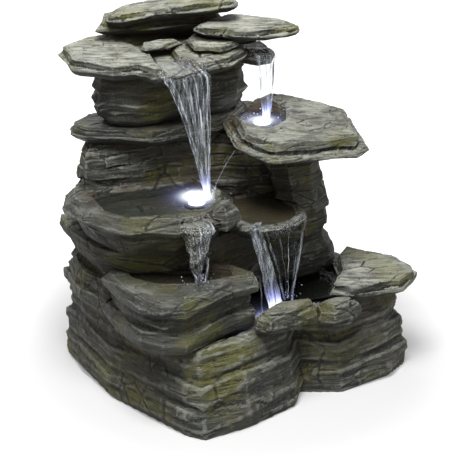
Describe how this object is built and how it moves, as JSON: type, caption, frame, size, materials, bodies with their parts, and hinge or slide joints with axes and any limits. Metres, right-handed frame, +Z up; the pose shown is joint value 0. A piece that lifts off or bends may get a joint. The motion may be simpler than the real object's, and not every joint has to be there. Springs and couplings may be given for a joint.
{
  "type": "garden fountain",
  "caption": "Free-standing cascade fountain of stacked slate-look cast stones with lit pools, a submersible pump, a riser hose and a rear service hatch.",
  "frame": {"origin": "on the floor, under the middle of the tub", "axes": "+Z up, -Y to the front with the lower pool, +Y to the rear service hatch"},
  "size_m": [0.4983, 0.4066, 0.583],
  "materials": {
    "slate": "matt, painted cast resin with a slate texture",
    "seal_rubber": "matt",
    "pump_plastic": "fine texture",
    "dial_plastic": "satin",
    "impeller_plastic": "smooth",
    "magnet": "coated",
    "shaft_steel": "ground",
    "hose": "soft, smooth",
    "clip_steel": "plain",
    "light_plastic": "smooth",
    "lens": "clear",
    "board": "solder mask"
  },
  "bodies": {
    "fountain": {"base_rock": "slate", "cable_gland": "seal_rubber", "cap_stone": "slate", "chamber_rock": "slate", "channel_stone": "slate", "divider_stone": "slate", "fall_stone": "slate", "front_left_ledge": "slate", "hose_adaptor": "pump_plastic", "hose_clips": "clip_steel", "impeller_shaft": "shaft_steel", "left_course": "slate", "lower_light_board": "board", "lower_light_housing": "light_plastic", "lower_light_lens": "lens", "lower_light_seal": "seal_rubber", "lower_light_stand": "pump_plastic", "mid_layer": "slate", "middle_basin": "slate", "middle_bowl": "slate", "middle_light_board": "board", "middle_light_housing": "light_plastic", "middle_light_lens": "lens", "middle_light_seal": "seal_rubber", "middle_rock": "slate", "outlet_nozzle": "pump_plastic", "outlet_nut": "pump_plastic", "outlet_seal": "seal_rubber", "pump_body": "pump_plastic", "pump_feet": "seal_rubber", "right_ledge": "slate", "right_pier": "slate", "right_slab": "slate", "rim_stone_left": "slate", "rim_stone_right": "slate", "riser_hose": "hose", "second_layer": "slate", "shaft_bushes": "seal_rubber", "spout_stone": "slate", "strainer": "pump_plastic", "top_slab": "slate", "upper_light_board": "board", "upper_light_housing": "light_plastic", "upper_light_lens": "lens", "upper_light_seal": "seal_rubber", "upper_rock": "slate", "upper_shelf": "slate", "volute_cover": "pump_plastic", "wedge_stone": "slate"},
    "impeller": {"impeller": "impeller_plastic", "rotor_magnet": "magnet"},
    "dial": {"flow_dial": "dial_plastic"},
    "hatch": {"rear_hatch": "slate", "hatch_seal": "seal_rubber"}
  },
  "joints": [
    {"name": "hatch_pull", "type": "slide", "parent": "fountain", "child": "hatch", "axis": [0, 1, 0], "range_m": [0, 0.15]},
    {"name": "impeller_spin", "type": "hinge", "parent": "fountain", "child": "impeller", "pos_m": [-0.05, 0.104, 0.042], "axis": [0, 1, 0], "continuous": true},
    {"name": "flow_dial_turn", "type": "hinge", "parent": "fountain", "child": "dial", "pos_m": [-0.05, 0.077, 0.042], "axis": [0, -1, 0], "range_deg": [0, 90]}
  ]
}
